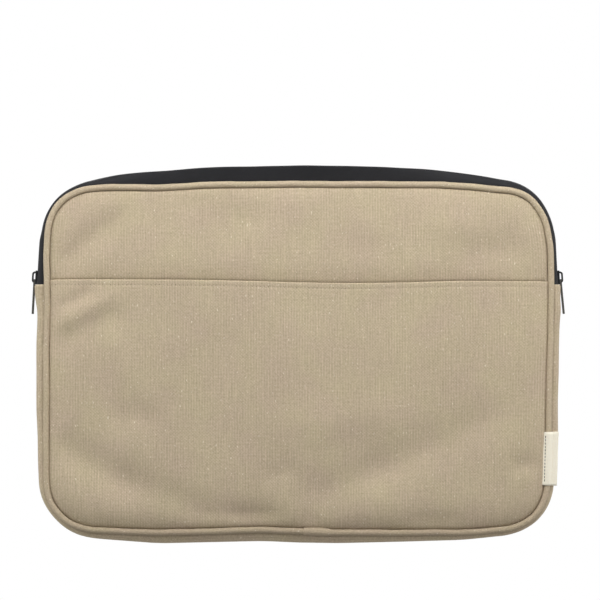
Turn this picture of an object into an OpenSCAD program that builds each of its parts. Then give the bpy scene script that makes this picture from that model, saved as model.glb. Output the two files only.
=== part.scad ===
// Laptop sleeve, standing upright: +X right, +Z up, the pocket side faces -Y.
// Every sub-part is drawn flat (x across, y up the sleeve, z toward the pocket side) and then stood up.
// The origin is the middle of the face that the sleeve stands on.

/* [Overall] */
// Distance between the left and right piping centrelines
seam_w = 362; // [300:1:420]
// Distance between the bottom and top piping centrelines
seam_h = 249; // [200:1:300]
// Radius of the two top corners at the piping centreline
top_r = 32; // [20:1:60]
// Radius of the two bottom corners at the piping centreline
bottom_r = 36; // [20:1:60]
// Thickness over the front and back canvas faces
depth = 28; // [24:0.5:40]
// Height of the line that the opened front folds along
fold_y = 200; // [195:1:210]
// Gap between the pieces on either side of the fold
fold_gap = 0.3; // [0.3:0.1:1]

/* [Panels] */
// Canvas thickness
canvas_t = 1; // [0.6:0.1:2]
// Distance from the piping centreline in to the canvas edge
canvas_in = 2.4; // [2.4:0.1:4]
// Height of the turned canvas edge around the foam
turned_h = 3.9; // [2:0.1:4]
// Distance from the piping centreline in to the foam edge
foam_in = 3.5; // [3.5:0.1:6]
// Foam pad thickness
foam_t = 4.5; // [3:0.5:6]
// Lining thickness
lining_t = 0.5; // [0.3:0.1:1]
// Width of the binding over the inner seam
binding_w = 4.5; // [3:0.5:8]
// Thickness of the binding over the inner seam
binding_t = 0.7; // [0.4:0.1:1]

/* [Piping] */
// Outer radius of the piping
piping_r = 2.3; // [1.8:0.1:3]
// Thickness of the canvas around the cord
piping_wall = 0.6; // [0.4:0.1:1]
// Play between the cord and its cover
cord_play = 0.05; // [0.02:0.01:0.1]
// Distance from the middle plane to the piping centreline
piping_d = 11.6; // [10:0.1:12]

/* [Gusset] */
// How far the gusset bows out beyond the piping centreline
gusset_bow = 8.5; // [6:0.5:12]
// Gusset canvas thickness
gusset_t = 1.2; // [0.8:0.1:2]
// Half width of the flat of the gusset
gusset_flat = 6.2; // [5:0.1:7]
// Distance from the middle plane to the gusset's outer edge
gusset_edge = 9.1; // [8:0.1:9.2]
// Where the bowed part of the gusset starts, out from the piping centreline
bow_start = 2.2; // [2:0.1:3]
// Height of the folded gusset ends, where the zip starts
zip_y = 185; // [170:1:195]
// Height of the fold at each end of the gusset
fold_h = 8; // [5:1:12]
// Thickness of the turned-in layer of that fold
fold_t = 0.8; // [0.6:0.1:1]

/* [Pocket] */
// Height of the pocket's mouth
pocket_y = 188; // [150:1:195]
// How far the pocket stands off the front canvas in its middle
pocket_rise = 5.3; // [5:0.1:12]
// Distance over which the pocket rises from its seams
pocket_ramp = 45; // [30:1:60]
// Pocket canvas thickness
pocket_t = 1; // [0.6:0.1:2]
// Height of the hem at the mouth
hem_h = 8; // [5:1:15]
// Thickness of the turned-in hem
hem_t = 0.8; // [0.5:0.1:1.2]
// Half width of the turned-in hem
hem_reach = 166; // [150:1:170]

/* [Zip] */
// Zip tape thickness
tape_t = 0.8; // [0.5:0.1:1]
// Distance from the middle plane to the tape's seam
tape_d = 8.7; // [8:0.1:9]
// Distance from the middle plane to the tape's free edge at the sides
tape_gap = 1.4; // [1.3:0.1:2]
// How far out the free edge stands at the zip's ends
edge_low = 6.9; // [5:0.1:8]
// How much of that the edge loses over lean_run
edge_loss = 2; // [0:0.1:3]
// Height over which it loses it
lean_run = 35; // [30:1:40]
// Radius of the coil
coil_r = 0.8; // [0.6:0.1:1]
// Coil centre, back from the free edge
coil_back = 0.9; // [0.8:0.1:1.5]
// Coil centre, in from the tape
coil_in = 1.25; // [1.2:0.05:1.5]
// Space between the gusset fold and the tape's end
tape_space = 0.1; // [0.1:0.1:1]
// Space between the gusset fold and the coil's end
coil_space = 2.2; // [2:0.1:4]

/* [Slider] */
// Height of the middle of each slider at rest
slider_y = 191.5; // [191:0.5:195]
// Slider length along the zip
slider_l = 10; // [8:0.5:12]
// Outer plate, from the tape's middle
plate_out = [0.8, 1.7];
// Inner plate, from the tape's middle
plate_in = [-3.6, -2.5];
// Half width of the outer plate
plate_w = 4; // [3:0.1:5]
// Half width of the inner plate, over its flanges
flange_w = 4.3; // [4:0.1:5]
// Thickness of the flanges
flange_t = 0.7; // [0.5:0.1:1]
// Top of the flanges, from the tape's middle
flange_top = -1.2; // [-1.5:0.1:-1]
// Half thickness of the neck between the plates
neck_w = 1; // [0.8:0.1:1]
// Crown height over the outer plate
crown_h = 2.6; // [2:0.1:4]
// Half width of the crown
crown_w = 1.5; // [1:0.1:2]

/* [Pull] */
// Pull length, from its pivot to its tip
pull_l = 24.6; // [18:0.2:40]
// Half width of the pull
pull_w = 2.75; // [2.5:0.05:4]
// Pull thickness
pull_t = 1.2; // [0.8:0.1:2]
// Length of the window that the crown stands in
window_l = 7; // [6.8:0.1:9]
// Half width of that window
window_w = 1.8; // [1.8:0.05:2.2]
// Radius of the pivot bar
bar_r = 0.65; // [0.5:0.05:0.7]
// How far the right pull hangs away from the side at rest, degrees
right_hang = 5.5; // [2:0.5:10]
// How far the left pull hangs away from the side at rest, degrees
left_hang = 3; // [2:0.5:10]

/* [Label] */
// Bottom of the woven label
label_y = 42; // [40:1:140]
// Height of the woven label
label_h = 38.5; // [20:0.5:50]
// Label thickness
label_t = 0.7; // [0.4:0.1:1]
// How far out the label reaches over the gusset
label_out = 5.6; // [4:0.1:6]

/* [Show] */
// Sub-part to draw

/* [Hidden] */
$fn = 48;
half_w = seam_w / 2;
base_y = gusset_bow;
head_y = base_y + seam_h;
face_d = depth / 2;
canvas_d = face_d - canvas_t;
foam_d = canvas_d - foam_t;
lining_d = foam_d - lining_t;
binding_d = lining_d - binding_t;
cord_r = piping_r - piping_wall - cord_play;
below = fold_y - fold_gap / 2;
above = fold_y + fold_gap / 2;
top_half = half_w - top_r;
bottom_half = half_w - bottom_r;
corner_top_y = head_y - top_r;
corner_bottom_y = base_y + bottom_r;
arc_len = top_r * PI / 2;
far_away = 1000;
canvas_colour = [0.72, 0.65, 0.53];
black_colour = [0.08, 0.08, 0.09];
lining_colour = [0.15, 0.15, 0.16];
foam_colour = [0.45, 0.45, 0.47];
cord_colour = [0.9, 0.88, 0.82];
metal_colour = [0.12, 0.12, 0.13];
label_colour = [0.9, 0.87, 0.78];

// Stands the flat drawing up, its z toward -Y
module stand() rotate([90, 0, 0]) children();

// Right half as drawn, or mirrored to the left
module on_side(side) {
    if (side < 0) {
        mirror([1, 0, 0]) children();
    } else {
        children();
    }
}

// Front as drawn, or mirrored to the back
module to_back() mirror([0, 0, 1]) children();

// ---- outlines and plates ----

// Outline of the sleeve, a distance inside the piping centreline
module outline(inset) {
    w = half_w - inset;
    rt = top_r - inset;
    rb = bottom_r - inset;
    y0 = base_y + inset;
    y1 = head_y - inset;
    mid = (y0 + y1) / 2;
    translate([-(w - rb), y0]) square([2 * (w - rb), mid - y0]);
    translate([-(w - rt), mid]) square([2 * (w - rt), y1 - mid]);
    translate([-w, y0 + rb]) square([2 * w, y1 - rt - y0 - rb]);
    for (s = [-1, 1]) {
        translate([s * (w - rb), y0 + rb]) circle(r = rb);
        translate([s * (w - rt), y1 - rt]) circle(r = rt);
    }
}

// Keeps a band of heights of a flat shape
module keep(y0, y1) {
    intersection() {
        children();
        translate([-far_away / 2, y0]) square([far_away, y1 - y0]);
    }
}

// Flat sheet with the sleeve's outline between two heights
module plate(inset, d, t, y0, y1) {
    translate([0, 0, d]) linear_extrude(t) keep(y0, y1) outline(inset);
}

// Flat ring along the sleeve's outline between two heights
module rim(inset, w, d, t, y0, y1) {
    translate([0, 0, d]) linear_extrude(t) keep(y0, y1) difference() {
        outline(inset);
        outline(inset + w);
    }
}

// Canvas face with its edge turned down around the foam
module canvas_face(y0, y1) {
    plate(canvas_in, canvas_d, canvas_t, y0, y1);
    rim(canvas_in, canvas_t, canvas_d - turned_h, turned_h, y0, y1);
}

// ---- sweeps along the sleeve's edge; the section's x points out, its y to the front ----

module side_run(y0, y1) {
    translate([half_w, y1, 0]) rotate([90, 0, 0]) linear_extrude(y1 - y0) children();
}

module top_run() {
    translate([-top_half, head_y, 0]) rotate([90, 0, 90]) linear_extrude(2 * top_half) children();
}

module bottom_run() {
    translate([bottom_half, base_y, 0]) rotate([90, 0, -90]) linear_extrude(2 * bottom_half) children();
}

module corner(x, y, r, a) {
    translate([x, y, 0]) rotate([0, 0, a]) rotate_extrude(angle = 90) translate([r, 0]) children();
}

// From a height on the right side, down around the bottom, to the same height on the left
module lower_loop(y) {
    side_run(corner_bottom_y, y) children();
    on_side(-1) side_run(corner_bottom_y, y) children();
    corner(-bottom_half, corner_bottom_y, bottom_r, 180) children();
    corner(bottom_half, corner_bottom_y, bottom_r, 270) children();
    bottom_run() children();
}

// From a height on the left side, up over the top, to the same height on the right
module upper_loop(y) {
    side_run(y, corner_top_y) children();
    on_side(-1) side_run(y, corner_top_y) children();
    corner(top_half, corner_top_y, top_r, 0) children();
    corner(-top_half, corner_top_y, top_r, 90) children();
    top_run() children();
}

// ---- sections ----

module cover_section() {
    translate([0, piping_d]) difference() {
        circle(r = piping_r);
        circle(r = piping_r - piping_wall);
    }
}

module cord_section() translate([0, piping_d]) circle(r = cord_r);

// One half of a gusset layer's line, a depth inside the outer face
function bow_line(s) = concat(
    [[-canvas_in, gusset_edge - s]],
    [for (a = [0:10:90]) [
        bow_start + (gusset_bow - bow_start - s) * sin(a),
        gusset_flat + (gusset_edge - gusset_flat - s) * cos(a)
    ]]
);
function flip(line) = [for (i = [len(line) - 1:-1:0]) [line[i][0], -line[i][1]]];
function turned(line) = [for (i = [len(line) - 1:-1:0]) line[i]];
function whole_line(s) = concat(bow_line(s), flip(bow_line(s)));

// A layer of the gusset between two depths under its outer face
module gusset_section(s0, s1) polygon(concat(whole_line(s0), turned(whole_line(s1))));

// ---- surfaces given on a grid ----

// Closed solid between two grids of points with the same rows and columns
module shell(near, far) {
    nr = len(near);
    nc = len(near[0]);
    n = nr * nc;
    points = concat([for (row = near) each row], [for (row = far) each row]);
    faces = [
        for (r = [0:nr - 2], c = [0:nc - 2])
            let (i = r * nc + c)
            each [[n + i, n + i + nc, n + i + nc + 1], [n + i, n + i + nc + 1, n + i + 1],
                  [i, i + nc + 1, i + nc], [i, i + 1, i + nc + 1]],
        for (c = [0:nc - 2])
            let (i = c, j = (nr - 1) * nc + c)
            each [[i, n + i, n + i + 1], [i, n + i + 1, i + 1],
                  [j, n + j + 1, n + j], [j, j + 1, n + j + 1]],
        for (r = [0:nr - 2])
            let (i = r * nc, j = r * nc + nc - 1)
            each [[i, n + i + nc, n + i], [i, i + nc, n + i + nc],
                  [j, n + j, n + j + nc], [j, n + j + nc, j + nc]]
    ];
    polyhedron(points = points, faces = faces);
}

// Closed tube through a list of rings
module tube(rings) {
    nk = len(rings[0]);
    last = (len(rings) - 1) * nk;
    points = [for (ring = rings) each ring];
    faces = [
        for (r = [0:len(rings) - 2], k = [0:nk - 1])
            let (i = r * nk + k, j = r * nk + (k + 1) % nk)
            each [[i, i + nk, j + nk], [i, j + nk, j]],
        [for (k = [0:nk - 1]) k],
        [for (k = [nk - 1:-1:0]) last + k]
    ];
    polyhedron(points = points, faces = faces);
}

// ---- the pocket's surface ----

pocket_w = half_w - canvas_in;
pocket_r = bottom_r - canvas_in;
pocket_base = base_y + canvas_in;
pocket_straight = pocket_base + pocket_r;
pocket_cols = 32;
pocket_steps = 8;
hem_y = pocket_y - hem_h;

// Rows as half width and height
pocket_rows = concat(
    [for (a = [0:15:75]) [pocket_w - pocket_r + pocket_r * sin(a), pocket_base + pocket_r * (1 - cos(a))]],
    [for (i = [0:pocket_steps]) [pocket_w, pocket_straight + (hem_y - pocket_straight) * i / pocket_steps]],
    [[pocket_w, pocket_y]]
);
hem_rows = [[pocket_w, hem_y], [pocket_w, pocket_y]];

function ease(t) = let (c = min(1, max(0, t))) c * c * (3 - 2 * c);
function rise(x, y, w) = pocket_rise * ease((w - abs(x)) / pocket_ramp) * ease((y - pocket_base) / pocket_ramp);
function across(i) = sin(-90 + 180 * i / pocket_cols);
function pocket_grid(rows, reach, lift) = [
    for (row = rows) [
        for (i = [0:pocket_cols])
            let (x = row[0] * across(i))
            if (abs(x) <= reach) [x, row[1], face_d + rise(x, row[1], row[0]) + lift]
    ]
];

// ---- the zip's line: a distance g along it from the middle of the top, left is negative ----

zip_low_g = top_half + arc_len + corner_top_y - zip_y;
tape_end_g = zip_low_g - tape_space;
fold_g = top_half + arc_len + corner_top_y - fold_y;
coil_end_g = zip_low_g - coil_space;

// Height on a side for a distance along the zip
function side_y(g) = corner_top_y - (abs(g) - top_half - arc_len);

// How far the tape stands up, from lying over at the sides to upright on the top
stand_left = [[-172, 0], [-160, 0.06], [-149, 0.2], [-135, 0.45], [-120, 0.68], [-105, 0.82], [-85, 0.93], [-40, 1]];
stand_right = [[40, 1], [75, 0.88], [100, 0.7], [125, 0.55], [149, 0.4], [175, 0.25], [190, 0.1], [198, 0]];
function stand_up(g) = g < 0 ? lookup(g, stand_left) : lookup(g, stand_right);

// Free edge of the tape at the sides and round the corners
function side_edge(g) = edge_low - edge_loss * (side_y(g) - zip_y) / lean_run;
corner_edge = side_edge(top_half + arc_len);
function edge_out(g) = abs(g) >= top_half + arc_len
    ? side_edge(g)
    : lookup(abs(g), [[top_half, 2.8], [top_half + arc_len / 2, 3], [top_half + arc_len, corner_edge]]);
function swell(g) = lookup(abs(g), [[top_half + arc_len / 2, 2.2], [top_half + arc_len, 0.1]]);

top_mid = [7.2, 8.9];
top_edge = [13.2, 9.9];
root = [bow_start, tape_d];

// Second and last control points of the tape's section
function section_mid(g) = let (f = stand_up(g)) (1 - f) * [edge_out(g) + swell(g), 8.1] + f * top_mid;
function section_edge(g) = let (f = stand_up(g)) (1 - f) * [edge_out(g), tape_gap] + f * top_edge;
function curve(g, t) = (1 - t) * (1 - t) * root + 2 * t * (1 - t) * section_mid(g) + t * t * section_edge(g);
function heading(g, t) = let (v = (1 - t) * (section_mid(g) - root) + t * (section_edge(g) - section_mid(g)))
    v / norm(v);
function inward(v) = [v[1], -v[0]];

// Point of the sleeve for a distance along the zip and a section point
function place(g, p) =
    let (side = g < 0 ? -1 : 1, a = abs(g))
    a <= top_half ? [g, head_y + p[0], p[1]]
    : a >= top_half + arc_len ? [side * (half_w + p[0]), side_y(g), p[1]]
    : let (turn = 90 - 90 * (a - top_half) / arc_len)
      [side * (top_half + (top_r + p[0]) * cos(turn)), corner_top_y + (top_r + p[0]) * sin(turn), p[1]];

// Stations from one distance to another, closer together round the corners
function steps(g0, g1, n) = [for (i = [0:n - 1]) g0 + (g1 - g0) * i / n];
function stations(g) = concat(
    steps(-g, -top_half - arc_len, 3),
    steps(-top_half - arc_len, -top_half, 8),
    steps(-top_half, top_half, 22),
    steps(top_half, top_half + arc_len, 8),
    steps(top_half + arc_len, g, 3),
    [g]
);

tape_cols = 6;
tape_root = -canvas_in + 0.1;
function tape_row(g, side) = concat(
    [place(g, [tape_root, tape_d + side * tape_t / 2])],
    [for (i = [0:tape_cols])
        let (t = i / tape_cols)
        place(g, curve(g, t) - side * tape_t / 2 * inward(heading(g, t)))]
);
module tape(list) shell([for (g = list) tape_row(g, 1)], [for (g = list) tape_row(g, -1)]);

coil_sides = 8;
function coil_ring(g) =
    let (e = section_edge(g), h = heading(g, 1), c = e - coil_back * h + coil_in * inward(h))
    [for (k = [0:coil_sides - 1])
        let (a = 360 * k / coil_sides)
        place(g, c + coil_r * [cos(a), sin(a)])];
module coil(list) tube([for (g = list) coil_ring(g)]);

module tape_end(side) on_side(side) tape([fold_g + fold_gap / 2, (fold_g + tape_end_g) / 2, tape_end_g]);
module coil_end(side) on_side(side) coil([fold_g + fold_gap / 2, (fold_g + coil_end_g) / 2, coil_end_g]);

// ---- slider: x out from the tape, y up the zip, z to the front ----

zip_lean = atan(edge_loss / lean_run);
slider_out = edge_low - edge_loss * (slider_y - zip_y) / lean_run;

module at_slider(side) {
    on_side(side) translate([half_w + slider_out, slider_y, 0]) rotate([0, 0, zip_lean]) children();
}

// Block from the tape's middle out, along the zip and across it
module block(out, along, w) {
    translate([out[0], along[0], -w]) cube([out[1] - out[0], along[1] - along[0], 2 * w]);
}

module slider_body() {
    block(plate_out, [-slider_l / 2, slider_l / 2], plate_w);
    difference() {
        block([plate_in[0], flange_top], [-slider_l / 2, slider_l / 2], flange_w);
        block([plate_in[1], 0], [-slider_l, slider_l], flange_w - flange_t);
    }
    block([plate_in[1], plate_out[0]], [1.5, 4.5], neck_w);
}

// Rounded arch in the plane of the zip's length and height
module arch(y0, y1, h, r) {
    translate([0, y0 + r]) square([h, y1 - y0 - 2 * r]);
    translate([0, y0]) square([h - r, y1 - y0]);
    for (y = [y0 + r, y1 - r]) {
        translate([h - r, y]) circle(r = r);
    }
}

crown_low = -4.1;
crown_high = 4.3;
slot_low = -2.9;
slot_high = 3.1;
slot_h = 1.5;
module slider_crown() {
    translate([plate_out[1], 0, -crown_w]) linear_extrude(2 * crown_w) difference() {
        intersection() {
            arch(crown_low, crown_high, crown_h, 2.1);
            translate([0, crown_low]) square([crown_h, crown_high - crown_low]);
        }
        intersection() {
            arch(slot_low, slot_high, slot_h, 1.1);
            translate([-1, slot_low]) square([slot_h + 1, slot_high - slot_low]);
        }
    }
}

// ---- pull: hangs down its own -y from the pivot bar ----

pivot_y = -1.9;
pivot_out = plate_out[1] + 0.75;
module pull(hang) {
    translate([pivot_out, pivot_y, 0]) rotate([0, 0, hang - zip_lean]) {
        translate([0, 0, -pull_w]) cylinder(r = bar_r, h = 2 * pull_w);
        difference() {
            block([-pull_t / 2, pull_t / 2], [-pull_l, 0], pull_w);
            block([-pull_t, pull_t], [-window_l, pull_t], window_w);
        }
    }
}

// ---- stop: a small clamp over both tape ends ----

stop_y = [-6.15, -5.3];
module stop() {
    block([0.45, 0.9], stop_y, 2.4);
    block([-1.1, -0.65], stop_y, 2.4);
    block([-0.65, 0.45], stop_y, neck_w);
}

// ---- label: over the piping and on to the gusset ----

label_play = 0.1;
function around(r, a) = [r * cos(a), piping_d + r * sin(a)];
module label_section() {
    r0 = piping_r + label_play;
    r1 = r0 + label_t;
    lie = gusset_edge - 0.05;
    polygon(concat(
        [for (a = [130:-16:-30]) around(r0, a)],
        [[label_out, lie], [label_out + 0.2, lie + label_t]],
        [for (a = [-14:16:130]) around(r1, a)]
    ));
}

// ---- sub-parts ----

module back_panel() color(canvas_colour) stand() to_back() canvas_face(0, far_away);

module back_foam() color(foam_colour) stand() to_back() plate(foam_in, foam_d, foam_t, 0, far_away);

module back_lining() color(lining_colour) stand() to_back() plate(foam_in, lining_d, lining_t, 0, far_away);

module back_piping_cover() color(canvas_colour) stand() to_back() {
    lower_loop(fold_y) cover_section();
    upper_loop(fold_y) cover_section();
}

module back_piping_cord() color(cord_colour) stand() to_back() {
    lower_loop(fold_y) cord_section();
    upper_loop(fold_y) cord_section();
}

module back_seam_binding() color(black_colour) stand() to_back() {
    rim(canvas_in, binding_w, binding_d, binding_t, 0, far_away);
}

module back_zip_tape() color(black_colour) stand() to_back() tape(stations(tape_end_g));

module back_zip_coil() color(black_colour) stand() to_back() coil(stations(coil_end_g));

module gusset_band() color(canvas_colour) stand() {
    lower_loop(zip_y - fold_h) gusset_section(0, gusset_t);
    for (s = [-1, 1]) {
        on_side(s) side_run(zip_y - fold_h, zip_y) gusset_section(0, gusset_t + fold_t);
    }
}

module gusset_lining() color(lining_colour) stand() {
    lower_loop(zip_y - fold_h) gusset_section(gusset_t, gusset_t + lining_t);
}

module front_panel_lower() color(canvas_colour) stand() canvas_face(0, below);

module front_foam_lower() color(foam_colour) stand() plate(foam_in, foam_d, foam_t, 0, below);

module front_lining_lower() color(lining_colour) stand() plate(foam_in, lining_d, lining_t, 0, below);

module front_piping_cover_lower() color(canvas_colour) stand() lower_loop(below) cover_section();

module front_piping_cord_lower() color(cord_colour) stand() lower_loop(below) cord_section();

module front_seam_binding_lower() color(black_colour) stand() {
    rim(canvas_in, binding_w, binding_d, binding_t, 0, below);
}

module left_zip_tape_end() color(black_colour) stand() tape_end(-1);

module right_zip_tape_end() color(black_colour) stand() tape_end(1);

module left_zip_coil_end() color(black_colour) stand() coil_end(-1);

module right_zip_coil_end() color(black_colour) stand() coil_end(1);

module left_zip_stop() color(metal_colour) stand() at_slider(-1) stop();

module right_zip_stop() color(metal_colour) stand() at_slider(1) stop();

module pocket_panel() color(canvas_colour) stand() {
    shell(pocket_grid(pocket_rows, pocket_w, 0), pocket_grid(pocket_rows, pocket_w, pocket_t));
}

module pocket_hem() color(canvas_colour) stand() {
    shell(pocket_grid(hem_rows, hem_reach, -hem_t), pocket_grid(hem_rows, hem_reach, -0.05));
}

module label() color(label_colour) stand() side_run(label_y, label_y + label_h) label_section();

module front_panel_upper() color(canvas_colour) stand() canvas_face(above, far_away);

module front_foam_upper() color(foam_colour) stand() plate(foam_in, foam_d, foam_t, above, far_away);

module front_lining_upper() color(lining_colour) stand() plate(foam_in, lining_d, lining_t, above, far_away);

module front_piping_cover_upper() color(canvas_colour) stand() upper_loop(above) cover_section();

module front_piping_cord_upper() color(cord_colour) stand() upper_loop(above) cord_section();

module front_seam_binding_upper() color(black_colour) stand() {
    rim(canvas_in, binding_w, binding_d, binding_t, above, far_away);
}

module front_zip_tape() color(black_colour) stand() tape(stations(fold_g - fold_gap / 2));

module front_zip_coil() color(black_colour) stand() coil(stations(fold_g - fold_gap / 2));

module left_slider_body() color(metal_colour) stand() at_slider(-1) slider_body();

module left_slider_crown() color(metal_colour) stand() at_slider(-1) slider_crown();

module right_slider_body() color(metal_colour) stand() at_slider(1) slider_body();

module right_slider_crown() color(metal_colour) stand() at_slider(1) slider_crown();

module left_pull() color(metal_colour) stand() at_slider(-1) pull(left_hang);

module right_pull() color(metal_colour) stand() at_slider(1) pull(right_hang);

back_panel();
back_foam();
back_lining();
back_piping_cover();
back_piping_cord();
back_seam_binding();
back_zip_tape();
back_zip_coil();
gusset_band();
gusset_lining();
front_panel_lower();
front_foam_lower();
front_lining_lower();
front_piping_cover_lower();
front_piping_cord_lower();
front_seam_binding_lower();
left_zip_tape_end();
right_zip_tape_end();
left_zip_coil_end();
right_zip_coil_end();
left_zip_stop();
right_zip_stop();
pocket_panel();
pocket_hem();
label();
front_panel_upper();
front_foam_upper();
front_lining_upper();
front_piping_cover_upper();
front_piping_cord_upper();
front_seam_binding_upper();
front_zip_tape();
front_zip_coil();
left_slider_body();
left_slider_crown();
right_slider_body();
right_slider_crown();
left_pull();
right_pull();
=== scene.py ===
"""Looks of a canvas laptop sleeve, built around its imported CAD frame.

Lengths in this file are millimetres until a mesh is made. The sleeve stands on z = 0, its pocket faces
-Y, and d is the distance from its middle plane toward the pocket side.
"""

import math

import bpy
import numpy as np
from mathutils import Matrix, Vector


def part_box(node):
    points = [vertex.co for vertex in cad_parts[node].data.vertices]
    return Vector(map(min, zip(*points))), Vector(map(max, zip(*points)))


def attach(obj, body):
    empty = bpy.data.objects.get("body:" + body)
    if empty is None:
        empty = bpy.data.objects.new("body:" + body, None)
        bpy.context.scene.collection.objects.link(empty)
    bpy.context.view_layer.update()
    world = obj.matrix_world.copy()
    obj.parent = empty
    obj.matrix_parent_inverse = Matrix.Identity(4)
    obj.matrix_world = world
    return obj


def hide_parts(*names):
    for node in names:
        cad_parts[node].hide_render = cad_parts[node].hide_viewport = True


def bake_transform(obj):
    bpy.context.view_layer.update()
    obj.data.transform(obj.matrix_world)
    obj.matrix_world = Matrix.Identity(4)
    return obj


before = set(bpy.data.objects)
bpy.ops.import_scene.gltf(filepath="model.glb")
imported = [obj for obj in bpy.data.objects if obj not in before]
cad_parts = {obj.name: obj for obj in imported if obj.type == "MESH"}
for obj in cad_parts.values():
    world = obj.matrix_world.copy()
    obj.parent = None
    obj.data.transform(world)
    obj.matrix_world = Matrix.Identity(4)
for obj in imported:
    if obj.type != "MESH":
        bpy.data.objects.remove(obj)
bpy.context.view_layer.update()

M = 0.001
PI = math.pi

# ---- sizes read from the frame ----

low, high = (np.array(c) * 1000 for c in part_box("back_piping_cover"))
PIPE_R = (high[1] - low[1]) / 2
PIPE_D = (high[1] + low[1]) / 2
PIPE_D_ABS = abs(PIPE_D)
HALF_W = high[0] - PIPE_R
SEAM_LOW = low[2] + PIPE_R
SEAM_TOP = high[2] - PIPE_R
low, high = (np.array(c) * 1000 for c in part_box("gusset_band"))
ZIP_Z = high[2]
low, high = (np.array(c) * 1000 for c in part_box("pocket_panel"))
POCKET_Z = high[2]
low, high = (np.array(c) * 1000 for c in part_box("label"))
LABEL_LOW, LABEL_HIGH = low[2], high[2]

# ---- sizes that the frame's boxes don't give ----

TOP_R = 32.0
BOTTOM_R = 36.0
TAPE_D = 8.7
TAPE_GAP = 1.4
EDGE_LOW = 6.9
EDGE_LOSS = 2.0
LEAN_RUN = 35.0
HEM_STITCH = 3.3
STITCH_PITCH = 2.9
STITCH_REACH = HALF_W - 4
HEM_FOLD = 8.5
GUSSET_D = 9.35
GUSSET_POWER = 3.0

TOP_HALF = HALF_W - TOP_R
BOTTOM_HALF = HALF_W - BOTTOM_R
CORNER_TOP = SEAM_TOP - TOP_R
CORNER_LOW = SEAM_LOW + BOTTOM_R
ARC_LOW = BOTTOM_R * PI / 2
ARC_TOP = TOP_R * PI / 2
S_SIDE = BOTTOM_HALF + ARC_LOW
S_CORNER = S_SIDE + CORNER_TOP - CORNER_LOW
S_TOP = S_CORNER + ARC_TOP
HALF_LOOP = S_TOP + TOP_HALF
LOOP = 2 * HALF_LOOP
S_ZIP = S_SIDE + ZIP_Z - CORNER_LOW

SLEEVE = "sleeve"


# ---- shape helpers ----


def ease(t):
    t = np.clip(t, 0, 1)
    return t * t * (3 - 2 * t)


def spread(n, share=0.75):
    """n values from 0 to 1, closer together toward both ends."""
    t = np.linspace(0, 1, n)
    return share * (1 - np.cos(PI * t)) / 2 + (1 - share) * t


def ripples(x, z, seed, wavelength, height, count=9):
    """A smooth uneven field: a sum of waves in seeded directions."""
    rng = np.random.default_rng(seed)
    total = np.zeros(np.broadcast(x, z).shape)
    for _ in range(count):
        angle, phase, scale = rng.uniform(0, PI), rng.uniform(0, 2 * PI), rng.uniform(0.7, 1.5)
        k = 2 * PI / (wavelength * scale)
        total = total + np.sin(k * (x * math.cos(angle) + z * math.sin(angle)) + phase)
    return total * height / math.sqrt(count)


def bump(x, z, at, size, height):
    return height * np.exp(-(((x - at[0]) / size[0]) ** 2) - ((z - at[1]) / size[1]) ** 2)


def fold(x, z, a, b, width, height):
    """A ridge or crease from a to b that fades out at its ends."""
    (ax, az), (bx, bz) = a, b
    length = math.hypot(bx - ax, bz - az)
    ux, uz = (bx - ax) / length, (bz - az) / length
    along = ((x - ax) * ux + (z - az) * uz) / length
    across = ((x - ax) * uz - (z - az) * ux) / width
    return height * np.exp(-(across**2)) * ease((along + 0.3) / 0.5) * ease((1.3 - along) / 0.5)


def lookup(value, table, blur=0.0):
    """Value from a table of (key, value) pairs, averaged over a stretch to round its corners."""
    keys, values = zip(*table)
    steps = np.linspace(-blur, blur, 7) if blur else [0.0]
    return sum(np.interp(value + step, keys, values) for step in steps) / len(steps)


# How far the sewn seam strays outward from a true rounded rectangle, by the distance along it from the
# bottom's middle, right positive
STRAY = [
    (-582, 1.2), (-520, 0.7), (-480, -1.5), (-448, -1.0), (-436, -1.5), (-424, -3.2), (-395, -2.6),
    (-370, -0.4), (-335, -1.2), (-290, -0.4), (-195, -0.4), (-150, -1.5), (-100, 0.6), (-25, -1.6),
    (30, 0.5), (120, 0.5), (150, -1.8), (172, -0.9), (200, -1.7), (225, -1.0), (280, 0.2), (335, 1.4),
    (370, 1.0), (395, -3.2), (432, -3.3), (452, -1.0), (482, 0.8), (582, 1.2),
]

# How far the gusset bows out past the seam, by the same distance
BOWS = [
    (-340, 8.2), (-318, 6.9), (-250, 7.2), (-205, 5.4), (-175, 4.2), (-145, 6.0), (-100, 7.5), (0, 8.2),
    (75, 6.4), (165, 3.7), (215, 5.3), (235, 6.8), (280, 6.7), (318, 6.3), (340, 8.2),
]

# Creases (negative) and ridges of the padded front: both ends as (x, z), width and height
FOLDS = [
    ((-172, 201), (-130, 234), 9, -2.4),
    ((-60, 233), (-26, 235), 9, -1.0),
    ((32, 215), (64, 214), 10, -1.1),
    ((96, 227), (132, 229), 10, 1.1),
    ((120, 205), (158, 214), 11, -1.5),
    ((-173, 170), (-148, 181), 5.5, -1.4),
    ((-171, 158), (-134, 178), 7, 1.4),
    ((-171, 145), (-128, 165), 10, -1.8),
    ((-132, 91), (-102, 91), 10, -1.4),
    ((-174, 72), (-118, 43), 13, -3.2),
    ((-124, 44), (-50, 18), 12, -2.0),
    ((-48, 17), (-16, 17), 10, -2.2),
    ((-22, 48), (-2, 54), 7, -1.0),
    ((-8, 84), (72, 94), 15, 1.7),
    ((3, 14), (15, 14), 7, -1.2),
    ((8, 34), (68, 54), 14, -2.6),
    ((60, 54), (142, 92), 14, -2.5),
    ((82, 13), (116, 13), 9, -1.8),
    ((156, 56), (178, 58), 7, -1.7),
]


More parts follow.
